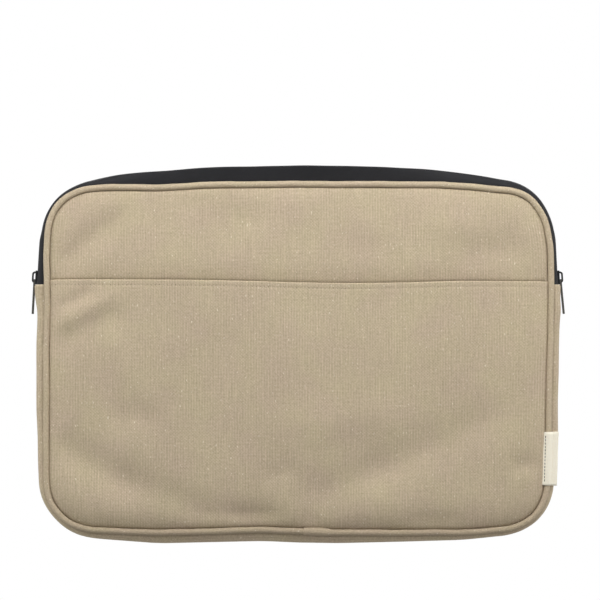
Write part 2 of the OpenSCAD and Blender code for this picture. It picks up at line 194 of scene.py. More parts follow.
def stray(s, off):
    """Outward shift of the sleeve at a place: none deep inside the panels or where the sliders run."""
    s = np.where(s > HALF_LOOP, s - LOOP, s)
    shift = lookup(s, STRAY, 7.0)
    at_zip = ease((np.abs(s) - 322) / 14) * (1 - ease((np.abs(s) - 374) / 10))
    return shift * (1 - at_zip * ease((off - 2.4) / 3.5)) * ease((off + 34) / 30)


def on_line(s):
    """Point and outward normal of the piping's line; s runs from the bottom's middle to the right and up."""
    s = np.asarray(s, float) % LOOP
    side = np.where(s > HALF_LOOP, -1.0, 1.0)
    s = np.where(s > HALF_LOOP, LOOP - s, s)
    a_low = np.clip((s - BOTTOM_HALF) / ARC_LOW, 0, 1) * PI / 2
    a_top = np.clip((s - S_CORNER) / ARC_TOP, 0, 1) * PI / 2
    x = np.minimum(s, BOTTOM_HALF) + BOTTOM_R * np.sin(a_low)
    z = SEAM_LOW + BOTTOM_R * (1 - np.cos(a_low)) + np.clip(s - S_SIDE, 0, S_CORNER - S_SIDE)
    x = x - TOP_R * (1 - np.cos(a_top)) - np.maximum(0, s - S_TOP)
    z = z + TOP_R * np.sin(a_top)
    angle = a_low - PI / 2 + a_top
    return side * x, z, side * np.cos(angle), np.sin(angle)


def place(s, off, d):
    """Points of the sleeve for a distance along the piping's line, out from it, and toward the front."""
    s, off, d = np.broadcast_arrays(s, off, d)
    x, z, nx, nz = on_line(s)
    s = np.asarray(s, float) % LOOP
    out = off + stray(s, off)
    return np.stack([x + nx * out, -d, z + nz * out], -1)


def nearest(x, z):
    """Station of the seam nearest to a point inside it."""
    upper = z > (SEAM_LOW + SEAM_TOP) / 2
    qx = np.abs(x) - np.where(upper, TOP_HALF, BOTTOM_HALF)
    qz = np.where(upper, z - CORNER_TOP, CORNER_LOW - z)
    r = np.where(upper, TOP_R, BOTTOM_R)
    on_corner = (qx > 0) & (qz > 0)
    on_side = ~on_corner & (qx > qz)
    angle = np.arctan2(np.maximum(qx, 1e-9), np.maximum(qz, 1e-9))
    low = np.where(on_corner, BOTTOM_HALF + BOTTOM_R * angle, np.minimum(np.abs(x), BOTTOM_HALF))
    from_top = S_TOP + TOP_HALF - np.minimum(np.abs(x), TOP_HALF)
    top = np.where(on_corner, S_CORNER + TOP_R * (PI / 2 - angle), from_top)
    up_side = S_SIDE + np.clip(z, CORNER_LOW, CORNER_TOP) - CORNER_LOW
    s = np.where(on_side, up_side, np.where(upper, top, low))
    return np.where(x < 0, -s, s)


def warp(x, z):
    """Moves points of a panel with the seam beside them."""
    s = nearest(x, z)
    _, _, nx, nz = on_line(s)
    shift = stray(s, -inside(x, z))
    return x + nx * shift, z + nz * shift


def inside(x, z):
    """Distance inside the piping's line."""
    upper = z > (SEAM_LOW + SEAM_TOP) / 2
    r = np.where(upper, TOP_R, BOTTOM_R)
    qx = np.abs(x) - (HALF_W - r)
    qz = np.where(upper, z - CORNER_TOP, CORNER_LOW - z)
    out = np.hypot(np.maximum(qx, 0), np.maximum(qz, 0)) + np.minimum(np.maximum(qx, qz), 0)
    return r - out


def half_width(z, inset):
    """Half the width, at a height, of the outline that lies inset inside the piping's line."""
    upper = z > (SEAM_LOW + SEAM_TOP) / 2
    r = np.where(upper, TOP_R, BOTTOM_R)
    dz = np.clip(np.where(upper, z - CORNER_TOP, CORNER_LOW - z), 0, r - inset)
    return HALF_W - r + np.sqrt((r - inset) ** 2 - dz**2)


# ---- mesh helpers ----


def make_object(name, points, faces, uv=None, material=None, painted_shade=None):
    """Smooth mesh; the last argument gives how much painted shade darkens the cloth at each point, from 0 to
    1, down in a seam and along the bottom.
    """
    mesh = bpy.data.meshes.new(name)
    mesh.from_pydata((np.asarray(points) * M).tolist(), [], faces)
    if uv is not None:
        layer = mesh.uv_layers.new(name="UVMap")
        index = np.zeros(len(mesh.loops), np.int32)
        mesh.loops.foreach_get("vertex_index", index)
        layer.data.foreach_set("uv", (np.asarray(uv)[index] * M).astype(np.float32).ravel())
    if painted_shade is not None:
        shade = mesh.attributes.new("painted_shade", "FLOAT", "POINT")
        shade.data.foreach_set("value", np.ravel(painted_shade).astype(np.float32))
    mesh.polygons.foreach_set("use_smooth", [True] * len(mesh.polygons))
    mesh.update()
    obj = bpy.data.objects.new(name, mesh)
    bpy.context.scene.collection.objects.link(obj)
    if material:
        mesh.materials.append(material)
    return obj


def grid_faces(rows, cols, wrap=False, start=0, flip=False):
    """Quads of a grid of points; wrap joins its last column to the first."""
    faces = []
    for r in range(rows - 1):
        for c in range(cols if wrap else cols - 1):
            a, b = r * cols + c, r * cols + (c + 1) % cols
            quad = (a, b, b + cols, a + cols)
            faces.append(tuple(start + i for i in (quad[::-1] if flip else quad)))
    return faces


def grid_object(name, points, uv, material, wrap=False, flip=False, painted_shade=None):
    rows, cols = points.shape[:2]
    faces = grid_faces(rows, cols, wrap, flip=flip)
    return make_object(name, points.reshape(-1, 3), faces, uv.reshape(-1, 2), material, painted_shade)


def thicken(obj, thickness, offset=0.0):
    modifier = obj.modifiers.new("thickness", "SOLIDIFY")
    modifier.thickness = thickness * M
    modifier.offset = offset
    modifier.use_rim = True


def tube_points(centres, side_a, side_b, radius, sides):
    """Rings of points round a line; side_a and side_b are unit vectors across it at each centre."""
    a = np.linspace(0, 2 * PI, sides, endpoint=False)
    radius = np.broadcast_to(radius, (len(centres),))[:, None, None]
    ring = np.cos(a)[None, :, None] * side_a[:, None, :] + np.sin(a)[None, :, None] * side_b[:, None, :]
    return centres[:, None, :] + radius * ring


def capsules(name, lines, radius, material, sides=6):
    """Many short round-ended threads as one object; lines are pairs of end points."""
    points, faces, uv = [], [], []
    shares = [(-0.5, 0.35), (-0.42, 0.85), (-0.2, 1.0), (0.2, 1.0), (0.42, 0.85), (0.5, 0.35)]
    for a, b in lines:
        a, b = np.array(a), np.array(b)
        along = b - a
        unit = along / np.linalg.norm(along)
        across = np.cross(unit, (0, 1, 0))
        across /= np.linalg.norm(across)
        up = np.cross(unit, across)
        start = len(points)
        for share, scale in shares:
            centre = (a + b) / 2 + along * share
            for k in range(sides):
                t = 2 * PI * k / sides
                points.append(centre + radius * scale * (math.cos(t) * across + math.sin(t) * up))
                uv.append((share * 3, k * 0.4))
        faces += grid_faces(len(shares), sides, True, start)
        faces.append(tuple(start + k for k in range(sides - 1, -1, -1)))
        faces.append(tuple(start + (len(shares) - 1) * sides + k for k in range(sides)))
    return make_object(name, points, faces, uv, material)


# ---- materials ----


class Nodes:
    """Short ways to add nodes to a material."""

    def __init__(self, name):
        self.material = bpy.data.materials.new(name)
        self.material.use_nodes = True
        self.tree = self.material.node_tree
        self.shader = self.tree.nodes["Principled BSDF"]

    def add(self, kind, inputs=None, **settings):
        node = self.tree.nodes.new(kind)
        for key, value in settings.items():
            setattr(node, key, value)
        for key, value in (inputs or {}).items():
            if isinstance(value, bpy.types.NodeSocket):
                self.tree.links.new(value, node.inputs[key])
            else:
                node.inputs[key].default_value = value
        return node

    def math(self, operation, a, b=0.0, clamp=False):
        return self.add("ShaderNodeMath", {0: a, 1: b}, operation=operation, use_clamp=clamp).outputs[0]

    def times(self, a, b, clamp=False):
        return self.math("MULTIPLY", a, b, clamp=clamp)

    def plus(self, a, b, clamp=False):
        return self.math("ADD", a, b, clamp=clamp)

    def minus(self, a, b):
        return self.math("SUBTRACT", a, b)

    def stretch(self, vector, scale):
        node = self.add("ShaderNodeVectorMath", {0: vector}, operation="MULTIPLY")
        node.inputs[1].default_value = scale
        return node.outputs[0]

    def noise(self, vector, scale, detail=2.0, roughness=0.5):
        inputs = {"Vector": vector, "Scale": scale, "Detail": detail, "Roughness": roughness}
        return self.add("ShaderNodeTexNoise", inputs).outputs["Fac"]

    def span(self, value, a, b, to_low=0.0, to_high=1.0):
        inputs = {"Value": value, "From Min": a, "From Max": b, "To Min": to_low, "To Max": to_high}
        return self.add("ShaderNodeMapRange", inputs).outputs[0]

    def mix(self, factor, a, b, blend="MIX"):
        node = self.add("ShaderNodeMix", data_type="RGBA", blend_type=blend, clamp_factor=True)
        for key, value in ((0, factor), (6, a), (7, b)):
            if isinstance(value, bpy.types.NodeSocket):
                self.tree.links.new(value, node.inputs[key])
            elif key == 0:
                node.inputs[key].default_value = value
            else:
                node.inputs[key].default_value = (*value, 1)
        return node.outputs[2]

    def bump(self, height, distance, strength):
        inputs = {"Height": height, "Distance": distance * M, "Strength": strength}
        return self.add("ShaderNodeBump", inputs).outputs[0]

    def link(self, value, socket):
        self.tree.links.new(value, self.shader.inputs[socket])

    def uv_mm(self):
        return self.stretch(self.add("ShaderNodeTexCoord").outputs["UV"], (1000, 1000, 1000))


def weave_height(n, uv, pitch):
    """Plain weave: yarns rise and dip past each other."""
    parts = n.add("ShaderNodeSeparateXYZ", {0: uv}).outputs
    across = n.math("SINE", n.times(parts[0], 2 * PI / pitch))
    along = n.math("SINE", n.times(parts[1], 2 * PI / (0.93 * pitch)))
    return n.times(across, along)


def stitch_holes_and_shade(n, uv, pitch):
    """Dots where the hem's thread goes through the cloth, as a mask for painted shade in the holes and for
    their dents; patchy along the hem and fainter to the right.
    """
    parts = n.add("ShaderNodeSeparateXYZ", {0: uv}).outputs
    turn = n.math("DIVIDE", n.plus(parts[0], STITCH_REACH + 0.45), pitch)
    across = n.times(n.math("ABSOLUTE", n.minus(n.math("FRACT", turn), 0.5)), 2 * pitch)
    across = n.minus(pitch, across)
    up = n.math("ABSOLUTE", n.plus(parts[1], HEM_STITCH))
    squared = n.plus(n.times(across, across), n.times(n.times(up, up), 2.2))
    patchy = n.span(n.noise(n.stretch(uv, (0.11, 0.02, 1)), 1.0, 3.0, 0.8), 0.40, 0.60, 0.15, 1.0)
    fainter_to_right = n.span(parts[0], 0.0, 110.0, 1.0, 0.45)
    dots = n.span(n.math("SQRT", squared), 0.35, 1.15, 1.0, 0.0)
    return n.times(dots, n.times(patchy, fainter_to_right))


def canvas_material(name, turn=0.0, thread=1.0, hemmed=False):
    """Heathered canvas; turn is the weave's angle to the piece, thread how much its threads show."""
    n = Nodes(name)
    flat = uv = n.uv_mm()
    if turn:
        inputs = {"Vector": uv, "Angle": math.radians(turn)}
        uv = n.add("ShaderNodeVectorRotate", inputs, rotation_type="Z_AXIS").outputs[0]
    grain = n.noise(uv, 0.62, 1.0, 0.8)
    upright = n.noise(n.stretch(uv, (0.62, 0.045, 1)), 1.0, 2.0, 0.8)
    level = n.noise(n.stretch(uv, (0.05, 0.62, 1)), 1.0, 2.0, 0.8)
    patch = n.span(n.noise(uv, 0.06, 2.0, 0.6), 0.42, 0.62)
    weave = weave_height(n, uv, 2.26)
    parts = n.add("ShaderNodeSeparateXYZ", {0: uv}).outputs
    ribs = n.math("SINE", n.times(parts[0], 2 * PI / 1.94))
    tone = n.times(n.minus(grain, 0.5), 0.72)
    tone = n.plus(tone, n.times(n.minus(upright, 0.5), 0.5 * thread))
    tone = n.plus(tone, n.times(n.minus(level, 0.5), 0.3 * thread))
    tone = n.plus(tone, n.times(n.times(weave, patch), 0.12 * thread))
    ribbed = n.times(ribs, n.minus(1.2, patch))
    tone = n.plus(tone, n.times(ribbed, 0.09 * thread))
    tone = n.plus(tone, 0.5, clamp=True)
    colour = n.mix(tone, (0.375, 0.300, 0.200), (0.745, 0.625, 0.455))
    mottle = n.noise(uv, 0.035, 3.0, 0.55)
    tint = n.mix(n.span(mottle, 0.35, 0.65), (1.0, 0.985, 1.0), (0.985, 1.0, 0.96))
    colour = n.mix(1.0, colour, tint, "MULTIPLY")
    wash = n.span(n.noise(uv, 0.018, 2.0, 0.5), 0.36, 0.64)
    washed = n.mix(wash, (0.965, 0.955, 0.962), (1.02, 1.02, 1.01))
    colour = n.mix(1.0, colour, washed, "MULTIPLY")
    slub = n.noise(n.stretch(uv, (0.85, 0.36, 1)), 1.0, 1.0, 0.4)
    colour = n.mix(n.span(slub, 0.70, 0.77, 0.0, 0.7), colour, (0.90, 0.83, 0.69))
    height = n.plus(n.times(weave, 0.5), n.times(tone, 1.6))
    # Painted shade from a per-point attribute: the cloth is mixed toward dark brown down in the seams and
    # along the bottom.
    painted_shade = n.add("ShaderNodeAttribute", attribute_name="painted_shade").outputs["Fac"]
    colour = n.mix(n.times(painted_shade, 0.58), colour, (0.12, 0.085, 0.055))
    if hemmed:
        # Painted shade in the stitch holes: dark dots in the colour, with small dents in the bump.
        holes_and_shade = stitch_holes_and_shade(n, flat, STITCH_PITCH)
        colour = n.mix(n.times(holes_and_shade, 0.6), colour, (0.16, 0.12, 0.08))
        height = n.minus(height, n.times(holes_and_shade, 3.0))
    n.link(colour, "Base Color")
    n.link(n.span(grain, 0.3, 0.7, 0.84, 0.95), "Roughness")
    n.link(n.bump(height, 0.10, 0.5), "Normal")
    n.shader.inputs["Specular IOR Level"].default_value = 0.2
    n.shader.inputs["Sheen Weight"].default_value = 0.10
    n.shader.inputs["Sheen Roughness"].default_value = 0.5
    n.shader.inputs["Sheen Tint"].default_value = (1.0, 0.94, 0.84, 1)
    return n.material


def tape_material(name):
    """Black twill zip tape with fine ribs along its length."""
    n = Nodes(name)
    uv = n.uv_mm()
    parts = n.add("ShaderNodeSeparateXYZ", {0: uv}).outputs
    rib = n.math("SINE", n.times(parts[1], 2 * PI / 0.75))
    twill = n.math("SINE", n.times(n.plus(parts[0], parts[1]), 2 * PI / 0.6))
    fuzz = n.noise(n.stretch(uv, (0.5, 2.0, 1)), 1.0, 3.0, 0.6)
    colour = n.mix(fuzz, (0.008, 0.008, 0.0095), (0.024, 0.024, 0.027))
    n.link(colour, "Base Color")
    n.link(n.span(fuzz, 0.3, 0.7, 0.52, 0.68), "Roughness")
    height = n.plus(n.times(rib, 0.5), n.times(twill, 0.35))
    n.link(n.bump(height, 0.06, 0.5), "Normal")
    n.shader.inputs["Specular IOR Level"].default_value = 0.25
    n.shader.inputs["Sheen Weight"].default_value = 0.08
    n.shader.inputs["Sheen Roughness"].default_value = 0.4
    return n.material


def plain_cloth(name, dark, light, pitch, depth=0.08, sheen=0.1, roughness=0.85):
    """Fine plain cloth for linings, bindings, labels and cords."""
    n = Nodes(name)
    uv = n.uv_mm()
    grain = n.noise(n.stretch(uv, (0.8, 0.5, 1)), 1.6, 3.0, 0.6)
    n.link(n.mix(n.span(grain, 0.3, 0.7), dark, light), "Base Color")
    n.link(n.span(grain, 0.3, 0.7, roughness - 0.06, roughness + 0.06), "Roughness")
    n.link(n.bump(weave_height(n, uv, pitch), depth, 0.6), "Normal")
    n.shader.inputs["Sheen Weight"].default_value = sheen
    n.shader.inputs["Specular IOR Level"].default_value = 0.3
    return n.material


def metal_material(name, dark, light, roughness, metallic=0.85):
    """Worn painted or plated metal: fine scratches and edges rubbed lighter."""
    n = Nodes(name)
    place_mm = n.stretch(n.add("ShaderNodeTexCoord").outputs["Object"], (1000, 1000, 1000))
    scratch = n.noise(n.stretch(place_mm, (2.5, 2.5, 0.25)), 1.5, 4.0, 0.65)
    speck = n.noise(place_mm, 3.0, 2.0, 0.5)
    edge = n.add("ShaderNodeNewGeometry").outputs["Pointiness"]
    worn = n.times(n.span(edge, 0.52, 0.6), n.span(speck, 0.35, 0.6), clamp=True)
    n.link(n.mix(worn, n.mix(scratch, dark, light), tuple(min(1, 2.5 * c) for c in light)), "Base Color")
    n.link(n.span(scratch, 0.3, 0.7, roughness - 0.08, roughness + 0.1), "Roughness")
    n.link(n.bump(scratch, 0.02, 0.4), "Normal")
    n.shader.inputs["Metallic"].default_value = metallic
    return n.material


def foam_material(name):
    n = Nodes(name)
    place_mm = n.stretch(n.add("ShaderNodeTexCoord").outputs["Object"], (1000, 1000, 1000))
    cells = n.add("ShaderNodeTexVoronoi", {"Vector": place_mm, "Scale": 1.4}).outputs["Distance"]
    n.link(n.mix(cells, (0.05, 0.05, 0.055), (0.16, 0.16, 0.17)), "Base Color")
    n.link(n.bump(cells, 0.3, 0.6), "Normal")
    n.shader.inputs["Roughness"].default_value = 0.95
    return n.material


CANVAS = canvas_material("canvas_cloth")
POCKET_CANVAS = canvas_material("pocket_canvas_cloth", hemmed=True)
BIAS_CANVAS = canvas_material("bias_canvas_cloth", turn=45, thread=0.25)
GUSSET_CANVAS = canvas_material("gusset_canvas_cloth", turn=90)
TAPE = tape_material("black_tape")
COIL = plain_cloth("black_coil", (0.006, 0.006, 0.007), (0.016, 0.016, 0.018), 0.8, 0.01, 0.0, 0.42)
LINING = plain_cloth("black_lining", (0.012, 0.012, 0.014), (0.030, 0.030, 0.034), 0.9)
BINDING = plain_cloth("black_binding", (0.008, 0.008, 0.009), (0.020, 0.020, 0.022), 0.7)
THREAD = plain_cloth("beige_thread", (0.42, 0.34, 0.235), (0.62, 0.52, 0.38), 0.5, 0.05, 0.1, 0.7)
BLACK_THREAD = plain_cloth("black_thread", (0.01, 0.01, 0.011), (0.03, 0.03, 0.032), 0.5, 0.05, 0.1, 0.6)
LABEL_CLOTH = plain_cloth("label_cotton_cloth", (0.95, 0.87, 0.70), (1.0, 0.96, 0.82), 0.7, 0.04, 0.15)
CORD_CLOTH = plain_cloth("cord_cotton", (0.6, 0.56, 0.47), (0.8, 0.77, 0.68), 1.1)
FOAM = foam_material("grey_foam")
SLIDER_METAL = metal_material("black_slider_metal", (0.006, 0.006, 0.007), (0.016, 0.017, 0.018), 0.42, 0.4)
PULL_METAL = metal_material("dark_pull_metal", (0.035, 0.034, 0.030), (0.085, 0.083, 0.075), 0.42)


# ---- canvas panels ----


LINING_INSET = 2.6
FINE_BAND = (POCKET_Z - 7, POCKET_Z + 7)


def panel_points(inset, depth, rows=96, cols=120, fine=None):
    """Grid over the sleeve's face; depth(x, z, e) gives d, where e is the distance from the panel's edge.

    fine is a band of heights, lowest and highest, that gets closer rows.
    """
    z = SEAM_LOW + inset + (SEAM_TOP - SEAM_LOW - 2 * inset) * spread(rows)
    if fine:
        z = np.concatenate([z[z < fine[0] - 0.4], np.arange(*fine, 0.55), z[z > fine[1] + 0.4]])
    u = 2 * spread(cols) - 1
    x = half_width(z, inset)[:, None] * u[None, :]
    z = np.broadcast_to(z[:, None], x.shape)
    e = np.maximum(0, inside(x, z) - inset)
    wx, wz = warp(x, z)
    return np.stack([wx, -depth(x, z, e), wz], -1), np.stack([x, z], -1)


def mouth_z(x):
    """Height of the pocket's mouth: it sags a little in the middle."""
    return POCKET_Z + 1.5 - 2.7 * np.exp(-(((x - 40) / 82) ** 2)) - 1.2 * ease((x - 110) / 60)


def foot_share(z, start=12, reach=40):
    """1 at the sleeve's foot, easing to 0 above it."""
    return 1 - ease((z - start) / reach)


def rise(z, e):
    """How fast the padding fills out from the seam: quickly on top, slowly along the bottom."""
    low_edge = foot_share(z)
    quick = 0.62 * (1 - np.exp(-e / 0.7)) + 0.38 * (1 - np.exp(-e / 5.0))
    slow = 0.30 * (1 - np.exp(-e / 0.8)) + 0.70 * (1 - np.exp(-e / 9.0))
    return quick * (1 - low_edge) + slow * low_edge


def face_soft(x, z, e):
    """Soft dents, folds and swells of the padded canvas front."""
    soft = ripples(x, z, 11, 95, 0.34) + ripples(x, z, 12, 38, 0.11)
    for line in FOLDS:
        soft = soft + fold(x, z, *line)
    soft = soft + bump(x, z, (-150, 206), (9, 16), -0.4) + bump(x, z, (-128, 226), (20, 7), 0.30)
    return soft * ease(e / 13)


def seam_pull(s_like, e, height, reach):
    """Small puckers where the stitching draws the edge in."""
    wave = np.sin(s_like * 0.62) * 0.6 + np.sin(s_like * 0.37 + 1.3) * 0.9 + np.sin(s_like * 0.155 + 0.4)
    return height * wave * np.exp(-e / reach) * ease(e / 2.0)


def face_depth(x, z, e):
    low_edge = foot_share(z)
    full = 9.4 + 4.4 * rise(z, e) - 1.5 * low_edge * np.exp(-e / 10) + 0.9 * (1 - np.exp(-e / 40))
    return full + face_soft(x, z, e) + seam_pull(x + 0.8 * z, e, 0.09, 9)


def canvas_depth(x, z, e):
    """The front, squeezed where the pocket's mouth crosses it."""
    below = mouth_z(x) - z
    squeeze = 1.2 * np.exp(-(((below - 3) / 10) ** 2)) + 1.2 * np.exp(-(((below - 1.0) / 1.8) ** 2))
    return face_depth(x, z, e) - squeeze * ease(e / 3)


def back_depth(x, z, e):
    edge = 9.4 + 3.9 * rise(z, e) + 0.35 * (1 - np.exp(-e / 30))
    soft = (ripples(x, z, 21, 110, 0.22) + ripples(x, z, 22, 40, 0.07)) * ease(e / 16)
    return -(edge + soft + seam_pull(x + 0.8 * z, e, 0.07, 9))


def lining_depth(x, z, e):
    return 8.0 - 0.12 * ripples(x, z, 31, 60, 1.0) * ease(e / 20)


def seam_shade(x, z, inset):
    """Painted shade down in the seam round a panel, and a strip of painted shade along the bottom."""
    edge = np.maximum(0, inside(x, z) - inset)
    strip = 0.42 * foot_share(z, 10, 30) * np.exp(-edge / 13)
    return np.minimum(1, np.exp(-edge / 0.75) + strip)


def panel_painted_shade(uv, inset):
    return seam_shade(uv[..., 0], uv[..., 1], inset)


CANVAS_INSET = 1.6
points, uv = panel_points(CANVAS_INSET, canvas_depth, fine=FINE_BAND)
front_canvas = grid_object("front_canvas", points, uv, CANVAS, painted_shade=panel_painted_shade(uv, CANVAS_INSET))
thicken(front_canvas, 0.8, -1)
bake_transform(front_canvas)
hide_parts("front_panel_lower", "front_panel_upper")

points, uv = panel_points(CANVAS_INSET, back_depth)
painted_shade = panel_painted_shade(uv, CANVAS_INSET)
back_canvas = grid_object("back_canvas", points, uv, CANVAS, flip=True, painted_shade=painted_shade)
thicken(back_canvas, 0.8, -1)
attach(back_canvas, SLEEVE)
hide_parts("back_panel")


# ---- foam pads and linings ----


def pad_object(name, side, cover):
    """Closed pad between the lining and its cover, which is given as a depth like the other faces."""
    cols, fine = 80, FINE_BAND

    def outer(x, z, e):
        return cover(x, z, e + PAD_INSET - CANVAS_INSET) - side * COVER_GAP

    top, uv = panel_points(PAD_INSET, outer, 60, cols, fine)
    base, _ = panel_points(PAD_INSET, lambda x, z, e: side * PAD_INNER + 0 * e, 60, cols, fine)
    rows = len(top)
    n = rows * cols
    faces = grid_faces(rows, cols, flip=side < 0) + grid_faces(rows, cols, start=n, flip=side > 0)
    rim = [c for c in range(cols)] + [r * cols + cols - 1 for r in range(1, rows)]
    rim += [(rows - 1) * cols + c for c in range(cols - 2, -1, -1)]
    rim += [r * cols for r in range(rows - 2, 0, -1)]
    for a, b in zip(rim, rim[1:] + rim[:1]):
        quad = (a, n + a, n + b, b)
        faces.append(quad if side > 0 else quad[::-1])
    points = np.concatenate([top.reshape(-1, 3), base.reshape(-1, 3)])
    return make_object(name, points, faces, np.concatenate([uv.reshape(-1, 2)] * 2), FOAM)


PAD_INSET = 3.6
PAD_INNER = 8.6
COVER_GAP = 1.1
front_foam = pad_object("front_foam_pad", 1, canvas_depth)
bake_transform(front_foam)
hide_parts("front_foam_lower", "front_foam_upper")

back_foam = pad_object("back_foam_pad", -1, back_depth)
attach(back_foam, SLEEVE)
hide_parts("back_foam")

points, uv = panel_points(LINING_INSET, lining_depth, rows=50, cols=70)
front_lining = grid_object("front_lining_cloth", points, uv, LINING, flip=True)
thicken(front_lining, 0.5)
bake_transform(front_lining)
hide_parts("front_lining_lower", "front_lining_upper")

points, uv = panel_points(LINING_INSET, lambda x, z, e: -lining_depth(-x, z, e), rows=50, cols=70)
back_lining = grid_object("back_lining_cloth", points, uv, LINING)
thicken(back_lining, 0.5)
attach(back_lining, SLEEVE)
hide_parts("back_lining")


# ---- pocket ----


def pocket_gap(x, z):
    """How far the pocket stands off the canvas behind it."""
    edge = np.maximum(0, HALF_W - 2 - np.abs(x))
    near = 1.1 + 0.9 * ease(edge / 9)
    return near + 3.2 * ease(edge / 75) * ease((z - SEAM_LOW) / 170)


def pocket_depth(x, z):
    e = np.maximum(0, inside(x, z) - CANVAS_INSET)
    soft = (ripples(x, z, 41, 90, 0.22) + ripples(x, z, 42, 36, 0.10)) * ease(e / 14) * ease(z / 90)
    stitch_row = mouth_z(x) - HEM_STITCH
    hem = -0.22 * np.exp(-(((z - stitch_row) / 0.7) ** 2)) - 0.12 * ease((mouth_z(x) - z - 9) / 5)
    return face_depth(x, z, e) + pocket_gap(x, z) + soft + hem


def pocket_mesh():
    """The pocket up to its mouth, hemmed inside; v in its UVs is the height from the mouth."""
    rows, cols = 92, 150
    u = 2 * spread(cols) - 1
    foot = SEAM_LOW + CANVAS_INSET
    t = spread(rows, 0.9) ** 0.9
    body_z = foot + (POCKET_Z - 12 - foot) * t
    x = half_width(body_z, CANVAS_INSET)[:, None] * u[None, :]
    z = np.broadcast_to(body_z[:, None], x.shape)
    steps = np.array([0.2, 0.36, 0.5, 0.62, 0.68, 0.73, 0.78, 0.83, 0.9, 0.95, 0.985])
    hem_x = np.broadcast_to(x[-1], (len(steps), cols))
    hem_z = body_z[-1] + (mouth_z(hem_x) - body_z[-1]) * steps[:, None]
    x, z = np.concatenate([x, hem_x]), np.concatenate([z, hem_z])
    d, v = pocket_depth(x, z), z - mouth_z(x)
    top_x, top_z, top_d = x[-1], z[-1], d[-1]
    roll = np.clip((pocket_gap(top_x, top_z) - 0.2) / 2, 0.3, 0.85)
    rows_of = [(x, z, d, v)]
    for a in np.linspace(0, PI, 7)[1:]:
        over = roll * math.sin(a)
        rows_of.append((top_x, top_z + over, top_d - roll * (1 - math.cos(a)), v[-1] + roll * a))
    for drop in (1.5, 4.0, HEM_FOLD):
        inner = pocket_depth(top_x, top_z - drop) - 2 * roll
        rows_of.append((top_x, top_z - drop, inner, v[-1] + roll * PI + drop))
    x, z, d, v = (np.concatenate([np.atleast_2d(part[i]) for part in rows_of]) for i in range(4))
    wx, wz = warp(x, z)
    return np.stack([wx, -d, wz], -1), np.stack([x, v], -1)


def pocket_thread():
    """Running stitches along the hem."""
    run = 2.0
    lines = []
    for i in range(int(2 * STITCH_REACH / STITCH_PITCH)):
        ends = []
        for share in (0, run):
            x = np.array(-STITCH_REACH + i * STITCH_PITCH + share)
            z = mouth_z(x) - HEM_STITCH
            wx, wz = warp(x, z)
            ends.append((float(wx), -float(pocket_depth(x, z)) + 0.02, float(wz)))
        lines.append(ends)
    return capsules("pocket_stitches", lines, 0.2, THREAD)


def pocket_painted_shade(uv):
    """Painted shade in the seam below and beside the pocket, and under its folded hem."""
    x, below = uv[..., 0], uv[..., 1]
    in_seam = seam_shade(x, mouth_z(x) + below, CANVAS_INSET)
    return np.where(below > 0, 0.6 * ease((below - 1.2) / 1.5), in_seam)


points, uv = pocket_mesh()
pocket = grid_object("front_pocket", points, uv, POCKET_CANVAS, painted_shade=pocket_painted_shade(uv))
thicken(pocket, 0.7, -1)
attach(pocket, SLEEVE)
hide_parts("pocket_panel", "pocket_hem")
pocket_stitches = pocket_thread()
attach(pocket_stitches, SLEEVE)


# ---- piping ----


LAP_LOW, LAP_HIGH = 4.0, 26.0


def piping_line(s):
    """How far the piping's middle lies outward of the seam's line, and how far toward the front."""
    off = 0.10 * np.sin(s * 0.11) + 0.07 * np.sin(s * 0.29 + 1)
    return off, PIPE_D_ABS + 0.12 * np.sin(s * 0.07 + 2)


def piping_tube(name, side, s, radius, material, sides=18):
    """A tube along the piping's line; radius(s, a) may change with the place and with the angle round it."""
    a = np.linspace(0, 2 * PI, sides, endpoint=False)[None, :]
    s = s[:, None] + 0 * a
    off, depth = piping_line(s)
    r = radius(s, a)
    points = place(s, off + r * np.cos(a), side * (depth + r * np.sin(a)))
    uv = np.stack([s, PIPE_R * a + 0 * s], -1)
    # Painted shade where the piping meets the seam on either side, and along the bottom.
    in_seam = np.exp(-np.maximum(0, PIPE_R * (np.sin(a) - 0.12)) / 0.55)
    painted_shade = np.minimum(1, in_seam + 0.40 * foot_share(points[..., 2], 6, 24))
    return grid_object(name, points, uv, material, wrap=True, flip=side < 0, painted_shade=painted_shade)


def cover_radius(s, a):
    return PIPE_R * (1 + 0.012 * np.sin(s * 0.9) + 0.01 * np.sin(s * 0.53))


def lap_radius(s, a):
    """The cover's folded end: a lip where it starts, and a pleat on its inner side where it ends."""
    lip = 0.7 * ease((s - LAP_LOW) / 0.5) - 0.1
    pleat = 1 - ease((s - LAP_HIGH + 7) / 7)
    inner_side = 0.5 - 0.5 * np.cos(a)
    tuck = 0.35 * inner_side * ease((s - LAP_LOW) / 8) * pleat
    return cover_radius(s, a) + lip * (0.12 + 0.88 * pleat) + tuck


def cord_radius(s, a):
    """Three strands twisted together."""
    return (PIPE_R - 0.8) * (1 + 0.07 * np.cos(3 * (a - 0.45 * s)))


def piping(side, prefix):
    """Canvas cover round a twisted cord, and the lap where the cover's ends meet under the sleeve."""
    around = np.linspace(15, 15 + LOOP, 430)
    cover = piping_tube(prefix + "_piping", side, around, cover_radius, BIAS_CANVAS)
    lap_end = LAP_LOW + np.array([0, 0.15, 0.4, 0.8])
    lap_s = np.concatenate([lap_end, np.linspace(LAP_LOW + 1.5, LAP_HIGH, 26)])
    lap = piping_tube(prefix + "_piping_lap", side, lap_s, lap_radius, BIAS_CANVAS)
    around = np.linspace(15, 15 + LOOP, 700)
    cord = piping_tube(prefix + "_piping_cord_twist", side, around, cord_radius, CORD_CLOTH, 15)
    return cover, lap, cord


